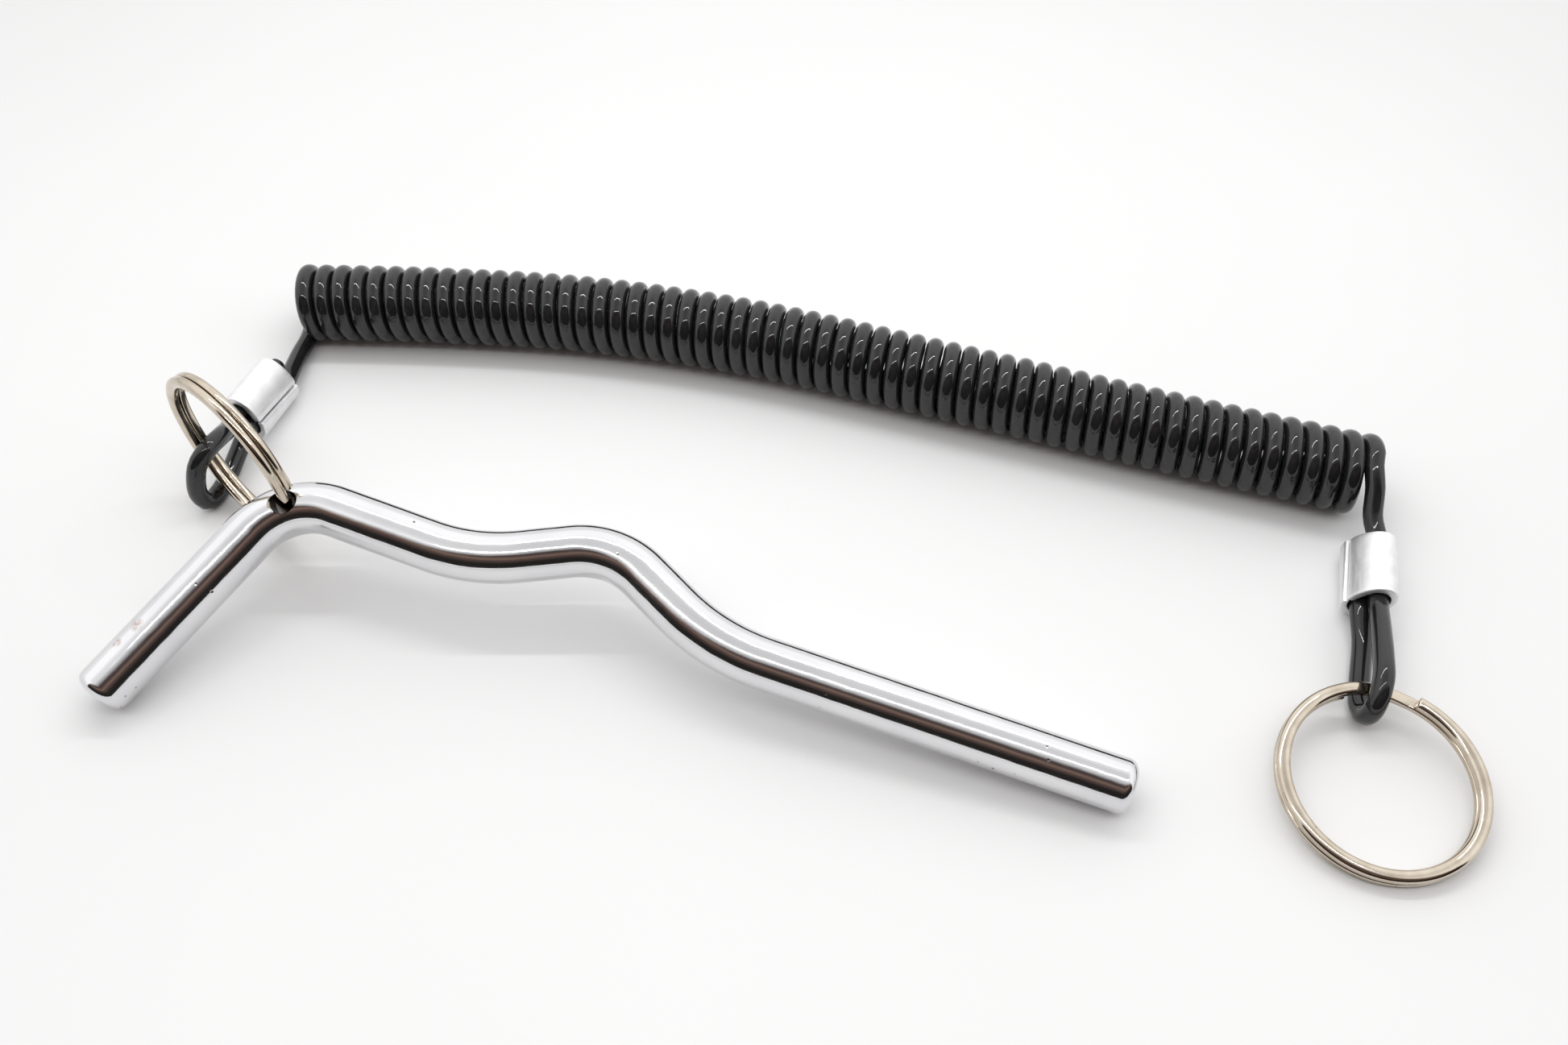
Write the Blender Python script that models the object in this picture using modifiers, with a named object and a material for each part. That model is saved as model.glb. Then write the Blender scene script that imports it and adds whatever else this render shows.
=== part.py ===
"""Hitch pin lock: a bent round pin whose split ring, crimped loops and coiled cable tether it.

The object lies on a flat surface at z = 0, with the pin's long side along X. Metres, +Z up.
"""

import math

import bmesh
import bpy
from mathutils import Matrix, Vector

MM = 0.001
GAP = 0.3 * MM

# The pin: a round rod bent four times in one plane. A straight has a length, a bend a radius and an angle.
ROD_DIAMETER = 9.5 * MM
ROD_SIDES = 24
HANDLE = 37.0 * MM
HANDLE_BEND = (13.5 * MM, -73.0)
NECK = 19.0 * MM
HUMP_START = (37.0 * MM, 26.0)
HUMP_TOP = 9.0 * MM
HUMP_FALL = (16.5 * MM, -51.0)
SHANK_LEAD = 8.5 * MM
SHANK_BEND = (41.0 * MM, 26.0)
SHANK = 64.5 * MM
END_ROUNDING = 1.9 * MM
BEND_STEP = math.radians(5.0)

# How the pin lies: the hole in the handle bend is its origin, and its plane leans back from the surface.
HOLE_CENTRE = Vector((-57.9, 15.7, 15.76)) * MM
PIN_HEADING = math.radians(-5.7)
PIN_LEAN = math.radians(17.7)
HOLE_DIAMETER = 4.4 * MM
HOLE_CHAMFER = 0.5 * MM

# The two split rings: flat wire wound twice, with one jog from the lower coil to the upper one.
RING_OUTER_DIAMETER = 35.0 * MM
RING_WIRE_WIDTH = 2.3 * MM
RING_WIRE_THICKNESS = 1.6 * MM
RING_WIRE_EDGE = 0.45 * MM
RING_COIL_RISE = 1.72 * MM
RING_JOG_HALF_ANGLE = math.radians(17.0)
RING_END_ANGLE = math.radians(22.0)
RING_STEPS_PER_TURN = 36

# The pin's ring stands on edge: the way its axis points, its lean from flat, and the turn that puts the jog in the hole.
PIN_RING_HEADING = math.radians(-40.2)
PIN_RING_LEAN = math.radians(88.3)
PIN_RING_TURN = math.radians(-12.6)

# The far ring lies on the surface, with the side in the loop lifted by the cable below it.
ANCHOR_RING_CENTRE = Vector((131.3, -32.2, 3.77)) * MM
ANCHOR_RING_LEAN = math.radians(7.2)
ANCHOR_RING_TURN = math.radians(78.0)

# The cable, its coil and its crimped sleeves.
CABLE_DIAMETER = 3.6 * MM
COIL_OUTER_DIAMETER = 16.4 * MM
CABLE_SPACING = 3.7 * MM
FERRULE_LENGTH = 13.8 * MM
FERRULE_WALL = 1.25 * MM
FERRULE_ROOM = 0.45 * MM
FERRULE_SEAM = 0.6 * MM
ROUTE_STEP = 2.2 * MM
COIL_STEP = 9.0 * MM

# A sleeve: its centre, the way it points (from coil to loop), how far it tips up, its roll about that
# direction, and the seam's place round it. A negative roll puts the upper cable on the other side.
FERRULE_A = {
    "centre": Vector((-75.8, 53.2, 5.90)) * MM,
    "heading": math.radians(-104.0),
    "tip": math.radians(6.0),
    "roll": math.radians(-62.0),
    "seam": math.radians(100.0),
}
FERRULE_B = {
    "centre": Vector((140.2, 9.3, 5.00)) * MM,
    "heading": math.radians(-105.0),
    "tip": 0.0,
    "roll": math.radians(52.0),
    "seam": math.radians(104.0),
}

# Routes of the cable's middle line, in millimetres.
COIL_ROUTE = [
    (-68.9, 79.5, 8.20),
    (-43.3, 78.6, 8.20),
    (-10.3, 75.7, 8.20),
    (23.7, 68.8, 8.20),
    (67.7, 55.0, 8.20),
    (110.7, 40.9, 8.20),
    (140.5, 31.6, 8.20),
]
LEAD_A_ROUTE = [
    (-71.2, 79.0, 1.87),
    (-72.2, 74.9, 1.95),
    (-72.9, 69.9, 2.20),
    (-73.0, 65.0, 2.90),
]
LOOP_A_ROUTE = [
    (-78.5, 41.0, 2.90),
    (-79.4, 35.8, 1.90),
    (-80.2, 31.3, 1.90),
    (-81.4, 28.9, 2.10),
    (-82.3, 28.5, 4.60),
    (-81.6, 28.9, 8.60),
    (-80.2, 30.1, 12.20),
    (-78.3, 32.3, 14.00),
    (-77.5, 36.3, 12.90),
    (-78.1, 41.1, 10.00),
]
STUB_A_LENGTH = 2.0 * MM
LEAD_B_ROUTE = [
    (142.9, 32.4, 14.55),
    (143.5, 28.6, 14.00),
    (143.5, 24.6, 11.40),
    (143.0, 20.3, 8.10),
]
LOOP_B_ROUTE = [
    (137.5, -4.6, 7.90),
    (135.5, -11.3, 9.40),
    (134.0, -16.3, 9.70),
    (132.8, -19.4, 7.60),
    (132.3, -20.2, 5.20),
    (132.2, -19.4, 3.00),
    (132.4, -16.6, 1.90),
    (133.9, -11.6, 1.90),
    (136.4, -3.6, 2.30),
]
STUB_B_LENGTH = 1.0 * MM

CHROME = (0.80, 0.80, 0.81, 1.0)
NICKEL = (0.74, 0.70, 0.64, 1.0)
ALUMINIUM = (0.86, 0.86, 0.87, 1.0)
BLACK_PLASTIC = (0.025, 0.027, 0.028, 1.0)


def clear_scene():
    """Removes what a new file holds."""
    for obj in list(bpy.data.objects):
        bpy.data.objects.remove(obj, do_unlink=True)


def new_collection(name):
    """A collection linked to the scene."""
    collection = bpy.data.collections.new(name)
    bpy.context.scene.collection.children.link(collection)
    return collection


def new_material(name, colour, roughness, metallic):
    """A Principled material with one colour."""
    material = bpy.data.materials.new(name)
    material.use_nodes = True
    shader = material.node_tree.nodes["Principled BSDF"]
    shader.inputs["Base Color"].default_value = colour
    shader.inputs["Roughness"].default_value = roughness
    shader.inputs["Metallic"].default_value = metallic
    material.diffuse_color = colour
    return material


def new_curve(name, collection, points, radius, resolution, radii=None):
    """A round tube with capped ends along a line of points."""
    data = bpy.data.curves.new(name, "CURVE")
    data.dimensions = "3D"
    data.bevel_depth = radius
    data.bevel_resolution = resolution
    data.use_fill_caps = True
    spline = data.splines.new("POLY")
    spline.points.add(len(points) - 1)
    for index, (control, point) in enumerate(zip(spline.points, points)):
        control.co = (*point, 1.0)
        control.radius = radii[index] if radii else 1.0
    obj = bpy.data.objects.new(name, data)
    collection.objects.link(obj)
    return obj


def mesh_from_curve(curve, collection):
    """Turns a curve object into a closed mesh object of the same name and place."""
    bpy.context.view_layer.update()
    evaluated = curve.evaluated_get(bpy.context.evaluated_depsgraph_get())
    mesh = bpy.data.meshes.new_from_object(evaluated)
    name = curve.name
    matrix = curve.matrix_world.copy()
    bpy.data.objects.remove(curve, do_unlink=True)
    work = bmesh.new()
    work.from_mesh(mesh)
    bmesh.ops.remove_doubles(work, verts=work.verts, dist=0.01 * MM)
    bmesh.ops.recalc_face_normals(work, faces=work.faces)
    work.to_mesh(mesh)
    work.free()
    mesh.name = name
    obj = bpy.data.objects.new(name, mesh)
    collection.objects.link(obj)
    obj.matrix_world = matrix
    mesh.shade_smooth()
    mesh.set_sharp_from_angle(angle=math.radians(40.0))
    return obj


def smooth_route(points, step):
    """Points about one step apart on a smooth curve through the given points."""
    padded = [points[0] * 2 - points[1], *points, points[-1] * 2 - points[-2]]
    dense = []
    for corners in zip(padded, padded[1:], padded[2:], padded[3:]):
        dense += [smooth_point(corners, index / 40) for index in range(40)]
    dense.append(points[-1].copy())
    return even_points(dense, step)


def smooth_point(corners, share):
    """A point between the second and third of four corners, on a centripetal Catmull-Rom curve."""
    a, b, c, d = corners
    start = math.sqrt((b - a).length)
    end = start + math.sqrt((c - b).length)
    last = end + math.sqrt((d - c).length)
    t = start + (end - start) * share
    middle = b.lerp(c, share)
    before = a.lerp(b, t / start).lerp(middle, t / end)
    after = middle.lerp(c.lerp(d, (t - end) / (last - end)), (t - start) / (last - start))
    return before.lerp(after, share)


def even_points(points, step):
    """The same line with its points evenly spaced."""
    lengths = [0.0]
    for a, b in zip(points, points[1:]):
        lengths.append(lengths[-1] + (b - a).length)
    count = max(2, round(lengths[-1] / step))
    result = []
    index = 0
    for number in range(count + 1):
        target = lengths[-1] * number / count
        while index < len(points) - 2 and lengths[index + 1] < target:
            index += 1
        share = (target - lengths[index]) / (lengths[index + 1] - lengths[index])
        result.append(points[index].lerp(points[index + 1], min(share, 1.0)))
    return result


# ---------------------------------------------------------------- the pin


def pin_outline():
    """The pin's middle line in its own plane, from the handle's tip to the shank's end, and the hole's place on it."""
    point = Vector((0.0, 0.0))
    heading = 0.0
    line = [point.copy()]
    hole = None
    steps = (HANDLE, HANDLE_BEND, NECK, HUMP_START, HUMP_TOP, HUMP_FALL, SHANK_LEAD, SHANK_BEND, SHANK)
    for step in steps:
        if isinstance(step, float):
            point = point + Vector((math.cos(heading), math.sin(heading))) * step
            line.append(point.copy())
            continue
        radius, degrees = step
        angle = math.radians(degrees)
        side = math.copysign(1.0, angle)
        centre = point + side * radius * Vector((-math.sin(heading), math.cos(heading)))
        count = max(2, 2 * math.ceil(abs(angle) / BEND_STEP / 2))
        for number in range(1, count + 1):
            turned = heading + angle * number / count
            line.append(centre - side * radius * Vector((-math.sin(turned), math.cos(turned))))
            if hole is None and number == count // 2:
                hole = line[-1].copy()
        point = line[-1].copy()
        heading += angle
    chord = line[-1] - line[0]
    level = Matrix.Rotation(-math.atan2(chord.y, chord.x), 2)
    return [level @ (p - hole) for p in line]


def rounded_ends(line):
    """Adds the rounded ends: extra points near both ends, and the share of the full radius at each point."""
    full = ROD_DIAMETER / 2
    points = [Vector((p.x, p.y, 0.0)) for p in line]
    offsets = [END_ROUNDING * (1 - math.cos(math.radians(a))) for a in (0, 22.5, 45, 67.5, 90)]
    first = (points[1] - points[0]).normalized()
    last = (points[-2] - points[-1]).normalized()
    head = [points[0] + first * offset for offset in offsets]
    tail = [points[-1] + last * offset for offset in reversed(offsets)]
    shares = []
    for offset in offsets:
        inside = END_ROUNDING - offset
        shares.append((full - END_ROUNDING + math.sqrt(END_ROUNDING**2 - inside**2)) / full)
    radii = [*shares, *([1.0] * (len(points) - 2)), *reversed(shares)]
    return [*head, *points[1:-1], *tail], radii


def pin_matrix():
    """Where the pin lies: its own plane is XY, and the hole's axis is Z."""
    turn = Matrix.Rotation(PIN_HEADING, 4, "Z") @ Matrix.Rotation(PIN_LEAN, 4, "X")
    return Matrix.Translation(HOLE_CENTRE) @ turn


def turned_cutter(name, collection, profile, steps):
    """A turned solid about Z from a profile of (radius, height) points, listed from top to bottom."""
    mesh = bpy.data.meshes.new(name)
    mesh.from_pydata([(r, 0.0, z) for r, z in profile], [(i, i + 1) for i in range(len(profile) - 1)], [])
    obj = bpy.data.objects.new(name, mesh)
    collection.objects.link(obj)
    screw = obj.modifiers.new("turn", "SCREW")
    screw.axis = "Z"
    screw.steps = steps
    screw.render_steps = steps
    screw.use_merge_vertices = True
    screw.merge_threshold = 0.00001
    obj.hide_render = True
    obj.display_type = "WIRE"
    return obj


def make_pin(parts, cutters, material):
    """The bent rod, with the chamfered hole through the handle bend."""
    points, radii = rounded_ends(pin_outline())
    curve = new_curve("pin", parts, points, ROD_DIAMETER / 2, (ROD_SIDES - 4) // 2, radii)
    curve.matrix_world = pin_matrix()
    pin = mesh_from_curve(curve, parts)
    hole = HOLE_DIAMETER / 2
    rim = ROD_DIAMETER / 2 - HOLE_CHAMFER
    reach = ROD_DIAMETER * 0.75
    flare = hole + reach - rim
    profile = [(0.0, reach), (flare, reach), (hole, rim), (hole, -rim), (flare, -reach), (0.0, -reach)]
    cutter = turned_cutter("pin_hole", cutters, profile, 24)
    cutter.matrix_world = pin_matrix()
    cut = pin.modifiers.new("hole", "BOOLEAN")
    cut.operation = "DIFFERENCE"
    cut.solver = "EXACT"
    cut.object = cutter
    pin.data.materials.append(material)
    return pin


# ---------------------------------------------------------------- the split rings


def ring_middle_radius():
    """The radius of the wire's middle line."""
    return (RING_OUTER_DIAMETER - RING_WIRE_WIDTH) / 2


def ring_route():
    """Two turns about Z, from the lower coil's end through the jog at angle 0 to the upper coil's end."""
    radius = ring_middle_radius()
    first = RING_END_ANGLE
    last = 4 * math.pi - RING_END_ANGLE
    count = round((last - first) / (2 * math.pi) * RING_STEPS_PER_TURN)
    angles = [first + (last - first) * number / count for number in range(count + 1)]
    points = []
    for angle in angles:
        share = (angle - 2 * math.pi) / RING_JOG_HALF_ANGLE
        height = RING_COIL_RISE / 2 * max(-1.0, min(1.0, share))
        points.append(Vector((radius * math.cos(angle), radius * math.sin(angle), height)))
    return points


def wire_section(guides):
    """The ring wire's section, a flat bar with its edges taken off."""
    half_width = RING_WIRE_WIDTH / 2
    half_height = RING_WIRE_THICKNESS / 2
    edge = RING_WIRE_EDGE
    quarter = [(half_width, half_height - edge), (half_width - edge, half_height)]
    corners = [*quarter, *[(-x, y) for x, y in reversed(quarter)]]
    corners += [(-x, -y) for x, y in corners]
    data = bpy.data.curves.new("ring_wire_section", "CURVE")
    data.dimensions = "2D"
    spline = data.splines.new("POLY")
    spline.points.add(len(corners) - 1)
    for control, (x, y) in zip(spline.points, corners):
        control.co = (x, y, 0.0, 1.0)
    spline.use_cyclic_u = True
    obj = bpy.data.objects.new("ring_wire_section", data)
    guides.objects.link(obj)
    obj.hide_render = True
    obj.display_type = "WIRE"
    return obj


def make_split_ring(name, parts, section, material, matrix):
    """A split ring whose own axis is Z, with its jog on +X."""
    curve = new_curve(name, parts, ring_route(), 0.0, 0)
    curve.data.bevel_mode = "OBJECT"
    curve.data.bevel_object = section
    curve.data.twist_mode = "Z_UP"
    curve.matrix_world = matrix
    ring = mesh_from_curve(curve, parts)
    ring.data.materials.append(material)
    return ring


def pin_ring_matrix():
    """The pin's ring, placed so that its jog runs through the middle of the hole."""
    turn = Matrix.Rotation(PIN_RING_HEADING, 4, "Z") @ Matrix.Rotation(PIN_RING_LEAN, 4, "X")
    turn = turn @ Matrix.Rotation(PIN_RING_TURN, 4, "Z")
    inward = Vector((ring_middle_radius() - RING_WIRE_SAG, 0.0, 0.0))
    return Matrix.Translation(HOLE_CENTRE - turn @ inward) @ turn


def anchor_ring_matrix():
    """The far ring, nearly flat, with its jog beside the loop."""
    turn = Matrix.Rotation(ANCHOR_RING_LEAN, 4, "X") @ Matrix.Rotation(ANCHOR_RING_TURN, 4, "Z")
    return Matrix.Translation(ANCHOR_RING_CENTRE) @ turn


# Half of how far the ring's curve bows inside the hole, so that the wire is centred there.
RING_WIRE_SAG = ring_middle_radius() * (1 - math.cos(RING_JOG_HALF_ANGLE)) / 2


# ---------------------------------------------------------------- the crimped sleeves


def ferrule_frame(ferrule):
    """The sleeve's own axes: X from the lower cable to the upper one, Z along the cables towards the loop."""
    heading = ferrule["heading"]
    tip = ferrule["tip"]
    along = Vector((math.cos(heading) * math.cos(tip), math.sin(heading) * math.cos(tip), math.sin(tip)))
    level = Vector((-along.y, along.x, 0.0)).normalized() * ferrule_side(ferrule)
    upright = along.cross(level) * ferrule_side(ferrule)
    roll = abs(ferrule["roll"])
    across = level * math.cos(roll) + upright * math.sin(roll)
    return across, along.cross(across), along


def ferrule_side(ferrule):
    """1 where the upper cable lies to the left of the sleeve's direction, -1 where it lies to the right."""
    return math.copysign(1.0, ferrule["roll"])


def ferrule_point(ferrule, lobe, along):
    """A point in the sleeve: lobe is 1 on the upper cable and -1 on the lower one, along is from -1 to 1."""
    across, _, forward = ferrule_frame(ferrule)
    offset = across * (lobe * CABLE_SPACING / 2) + forward * (along * FERRULE_LENGTH / 2)
    return ferrule["centre"] + offset


def lobe_outline(radius, first, last, count):
    """The outside of two round lobes side by side, from one angle on the lower lobe round to another."""
    points = []
    half = CABLE_SPACING / 2
    for number in range(count + 1):
        angle = first + (last - first) * number / count
        shift = half if math.cos(angle) > 0 else -half
        points.append((shift + radius * math.cos(angle), radius * math.sin(angle)))
    return points


def make_ferrule(name, parts, material, ferrule):
    """A sleeve rolled from strip around both cables, with an open seam along its lower lobe."""
    inner = CABLE_DIAMETER / 2 + FERRULE_ROOM
    outer = inner + FERRULE_WALL
    side = ferrule_side(ferrule)
    half_seam = FERRULE_SEAM / 2 / outer
    seam = ferrule["seam"]
    first = seam + half_seam
    last = seam + 2 * math.pi - half_seam
    outline = lobe_outline(outer, first, last, 32)
    outline += reversed(lobe_outline(inner, first, last, 32))
    data = bpy.data.curves.new(name, "CURVE")
    data.dimensions = "2D"
    data.fill_mode = "BOTH"
    data.extrude = FERRULE_LENGTH / 2
    spline = data.splines.new("POLY")
    spline.points.add(len(outline) - 1)
    for control, (x, y) in zip(spline.points, outline):
        control.co = (x, y * side, 0.0, 1.0)
    spline.use_cyclic_u = True
    curve = bpy.data.objects.new(name, data)
    parts.objects.link(curve)
    across, up, along = ferrule_frame(ferrule)
    turn = Matrix((across, up, along)).transposed().to_4x4()
    curve.matrix_world = Matrix.Translation(ferrule["centre"]) @ turn
    sleeve = mesh_from_curve(curve, parts)
    sleeve.data.materials.append(material)
    return sleeve


# ---------------------------------------------------------------- the cable


def route_points(rows):
    """A route's points in metres."""
    return [Vector(row) * MM for row in rows]


def tether_end_route(lead, loop, ferrule, lead_lobe, stub):
    """From the coil along the lead, through the sleeve, round the loop, back through the sleeve to the cut end."""
    _, _, along = ferrule_frame(ferrule)
    route = route_points(lead)
    route += [ferrule_point(ferrule, lead_lobe, where) for where in (-1.15, -0.9, 0.9, 1.15)]
    route += route_points(loop)
    route += [ferrule_point(ferrule, -lead_lobe, where) for where in (1.15, 0.9, -0.9, -1.0)]
    route.append(route[-1] - along * stub)
    return route


def make_cable(name, parts, material, route, step, diameter, resolution):
    """A tube along a smooth line through the route's points."""
    cable = new_curve(name, parts, smooth_route(route, step), diameter / 2, resolution)
    cable.data.materials.append(material)
    return cable


# ---------------------------------------------------------------- the whole object


def hang_on(name, collection, place, children):
    """An empty on a joint's axis, which carries the pieces that move with it."""
    pivot = bpy.data.objects.new(name, None)
    pivot.empty_display_size = 5.0 * MM
    collection.objects.link(pivot)
    pivot.location = place
    bpy.context.view_layer.update()
    for child in children:
        world = child.matrix_world.copy()
        child.parent = pivot
        child.matrix_parent_inverse = pivot.matrix_world.inverted()
        child.matrix_world = world
    return pivot


def main():
    clear_scene()
    parts = new_collection("hitch_pin_lock")
    helpers = new_collection("hitch_pin_lock_cutters")
    chrome = new_material("chrome", CHROME, 0.08, 1.0)
    nickel = new_material("nickel", NICKEL, 0.16, 1.0)
    aluminium = new_material("aluminium", ALUMINIUM, 0.38, 1.0)
    plastic = new_material("black_plastic", BLACK_PLASTIC, 0.22, 0.0)

    make_pin(parts, helpers, chrome)
    section = wire_section(helpers)
    pin_ring = make_split_ring("pin_ring", parts, section, nickel, pin_ring_matrix())
    anchor_ring = make_split_ring("anchor_ring", parts, section, nickel, anchor_ring_matrix())
    ferrule_a = make_ferrule("ferrule_a", parts, aluminium, FERRULE_A)
    ferrule_b = make_ferrule("ferrule_b", parts, aluminium, FERRULE_B)

    coil = make_cable("tether_coil", parts, plastic, route_points(COIL_ROUTE), COIL_STEP, COIL_OUTER_DIAMETER, 6)
    end_a_route = tether_end_route(LEAD_A_ROUTE, LOOP_A_ROUTE, FERRULE_A, -1, STUB_A_LENGTH)
    end_b_route = tether_end_route(LEAD_B_ROUTE, LOOP_B_ROUTE, FERRULE_B, 1, STUB_B_LENGTH)
    end_a = make_cable("tether_end_a", parts, plastic, end_a_route, ROUTE_STEP, CABLE_DIAMETER, 2)
    end_b = make_cable("tether_end_b", parts, plastic, end_b_route, ROUTE_STEP, CABLE_DIAMETER, 2)

    anchor_pivot = hang_on("anchor_ring_pivot", parts, route_points([LOOP_B_ROUTE[ANCHOR_TURN]])[0], [anchor_ring])
    coil_pull = hang_on("coil_pull", parts, route_points([COIL_ROUTE[-1]])[0], [ferrule_b, end_b, anchor_pivot])
    tether_pivot = hang_on("tether_pivot", parts, TETHER_PIVOT, [ferrule_a, end_a, coil, coil_pull])
    hang_on("pin_ring_pivot", parts, HOLE_CENTRE, [pin_ring, tether_pivot])


# Where the cable's loops hang: on the pin's ring, and the lowest turn of the far loop.
TETHER_PIVOT = Vector((-78.6, 32.0, 7.50)) * MM
ANCHOR_TURN = 4

main()
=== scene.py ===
import math

import bmesh
import bpy
import numpy as np
from mathutils import Matrix, Vector


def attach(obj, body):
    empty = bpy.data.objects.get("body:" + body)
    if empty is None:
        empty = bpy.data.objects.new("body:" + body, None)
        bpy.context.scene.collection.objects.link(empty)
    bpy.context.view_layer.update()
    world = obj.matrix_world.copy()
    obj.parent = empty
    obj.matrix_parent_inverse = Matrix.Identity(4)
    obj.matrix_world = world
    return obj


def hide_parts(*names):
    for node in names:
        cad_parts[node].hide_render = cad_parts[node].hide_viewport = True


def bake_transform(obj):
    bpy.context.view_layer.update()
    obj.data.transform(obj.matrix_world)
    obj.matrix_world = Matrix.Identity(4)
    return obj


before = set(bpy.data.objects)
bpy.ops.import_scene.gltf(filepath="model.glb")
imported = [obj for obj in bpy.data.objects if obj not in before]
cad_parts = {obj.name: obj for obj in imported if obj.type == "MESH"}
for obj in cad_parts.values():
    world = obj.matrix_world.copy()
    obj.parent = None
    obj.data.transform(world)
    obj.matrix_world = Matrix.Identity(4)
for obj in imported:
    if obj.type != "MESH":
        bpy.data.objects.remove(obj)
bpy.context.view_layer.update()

MM = 0.001

# The camera, at the height and angle of a hand-held close-up.
CAMERA_PLACE = Vector((31.74, -130.62, 199.41)) * MM
CAMERA_TILT = math.radians(38.02)
CAMERA_LENS = 29.61

# The pin, as in the CAD model but with finer steps.
ROD_RADIUS = 4.75 * MM
ROD_SIDES = 72
BEND_STEP = math.radians(1.5)
STRAIGHT_STEP = 2.0 * MM
END_ROUNDING = 1.9 * MM
HOLE_CENTRE = Vector((-57.9, 15.7, 15.76)) * MM
PIN_HEADING = math.radians(-5.7)
PIN_LEAN = math.radians(17.7)
HOLE_RADIUS = 2.2 * MM
HOLE_CHAMFER = 0.5 * MM
PIN_PARTS = (
    37.0 * MM,
    (13.5 * MM, -73.0),
    19.0 * MM,
    (37.0 * MM, 26.0),
    9.0 * MM,
    (16.5 * MM, -51.0),
    8.5 * MM,
    (41.0 * MM, 26.0),
    64.5 * MM,
)
# How far along the straightened rod the hole is.
HOLE_ALONG = PIN_PARTS[0] + PIN_PARTS[1][0] * math.radians(abs(PIN_PARTS[1][1])) / 2
# The bending tool's flats on the inside of the two sharp bends: each has a depth and a half length.
PRESS_SOFTNESS = 0.12 * MM
PRESS_MARKS = {1: (0.30 * MM, 5.0 * MM), 5: (0.32 * MM, 5.5 * MM)}

# The split rings.
RING_RADIUS = 16.35 * MM
WIRE_WIDTH = 2.3 * MM
WIRE_THICKNESS = 1.6 * MM
WIRE_CROWN = 2.0
WIRE_FLATNESS = 5.0
WIRE_SIDES = 36
# The taper of the wire's cut ends: an angle from the end, and the section's scale there.
WIRE_END_TAPER = ((0.0, 0.80), (0.006, 0.93), (0.016, 1.0))
COIL_RISE = 1.72 * MM
JOG_HALF_ANGLE = math.radians(17.0)
RING_END_ANGLE = math.radians(22.0)
RING_STEPS_PER_TURN = 120
PIN_RING_HEADING = math.radians(-40.2)
PIN_RING_LEAN = math.radians(88.3)
PIN_RING_TURN = math.radians(-12.6)
ANCHOR_RING_CENTRE = Vector((131.3, -32.2, 3.77)) * MM
ANCHOR_RING_LEAN = math.radians(7.2)
ANCHOR_RING_TURN = math.radians(78.0)

# The crimped sleeves.
CABLE_RADIUS = 1.8 * MM
CABLE_SPACING = 3.7 * MM
SLEEVE_LENGTH = 13.8 * MM
SLEEVE_INNER = 2.1 * MM
SLEEVE_WIDTH = 10.7 * MM
SLEEVE_HEIGHT = 7.0 * MM
SLEEVE_ROUNDNESS = 2.15
SLEEVE_RIM = 0.28 * MM
SLEEVE_SIDES = 96
SEAM_HALF_GAP = 0.07
SEAM_STEP = 0.27 * MM
SEAM_LIP_REACH = 0.9 * MM
SEAM_UPPER_LIFT = 0.14 * MM
SEAM_LOWER_LIFT = -0.20 * MM
SEAM_EDGE_ROUNDING = 0.12 * MM
SLEEVE_A = {
    "centre": Vector((-75.8, 53.2, 5.90)) * MM,
    "heading": math.radians(-104.0),
    "tip": math.radians(6.0),
    "roll": math.radians(-62.0),
    "seam": math.radians(125.0),
    "seam_slant": math.radians(-6.0),
}
SLEEVE_B = {
    "centre": Vector((140.2, 9.3, 5.00)) * MM,
    "heading": math.radians(-105.0),
    "tip": 0.0,
    "roll": math.radians(52.0),
    "seam": math.radians(128.0),
    "seam_slant": math.radians(6.0),
}

# The cable's middle line, in millimetres: the CAD model's route, with the coil's turns in place of its tube.
COIL_ROUTE = (
    (-72.3, 79.6, 8.20),
    (-68.9, 79.5, 8.20),
    (-43.3, 78.6, 8.20),
    (-10.3, 75.7, 8.20),
    (23.7, 68.8, 8.20),
    (67.7, 55.0, 8.20),
    (110.7, 40.9, 8.20),
    (140.5, 31.6, 8.20),
    (144.1, 30.5, 8.20),
)
COIL_TURNS = 59.5
COIL_RADIUS = 6.4 * MM
COIL_POINTS_PER_TURN = 30
LEAD_A_ROUTE = (
    (-71.2, 79.0, 1.87),
    (-72.2, 74.9, 1.95),
    (-72.9, 69.9, 2.20),
    (-73.0, 65.0, 2.90),
)
LOOP_A_ROUTE = (
    (-78.5, 41.0, 2.90),
    (-79.4, 35.8, 1.90),
    (-80.2, 31.3, 1.90),
    (-81.4, 28.9, 2.10),
    (-82.3, 28.5, 4.60),
    (-81.6, 28.9, 8.60),
    (-80.2, 30.1, 12.20),
    (-78.3, 32.3, 14.00),
    (-77.5, 36.3, 12.90),
    (-78.1, 41.1, 10.00),
)
STUB_A_LENGTH = 2.0 * MM
LEAD_B_ROUTE = (
    (142.9, 32.4, 14.55),
    (143.5, 28.6, 14.00),
    (143.5, 24.6, 11.40),
    (143.0, 20.3, 8.10),
)
LOOP_B_ROUTE = (
    (137.5, -4.6, 7.90),
    (135.5, -11.3, 9.40),
    (134.0, -16.3, 9.70),
    (132.8, -19.4, 7.60),
    (132.3, -20.2, 5.20),
    (132.2, -19.4, 3.00),
    (132.4, -16.6, 1.90),
    (133.9, -11.6, 1.90),
    (136.4, -3.6, 2.30),
)
STUB_B_LENGTH = 1.0 * MM
ROUTE_STEP = 1.34 * MM
CABLE_SIDES = 18


# ---------------------------------------------------------------- materials


def new_material(name):
    """An empty node material and its Principled shader."""
    material = bpy.data.materials.new(name)
    material.use_nodes = True
    return material, material.node_tree.nodes["Principled BSDF"]


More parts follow.
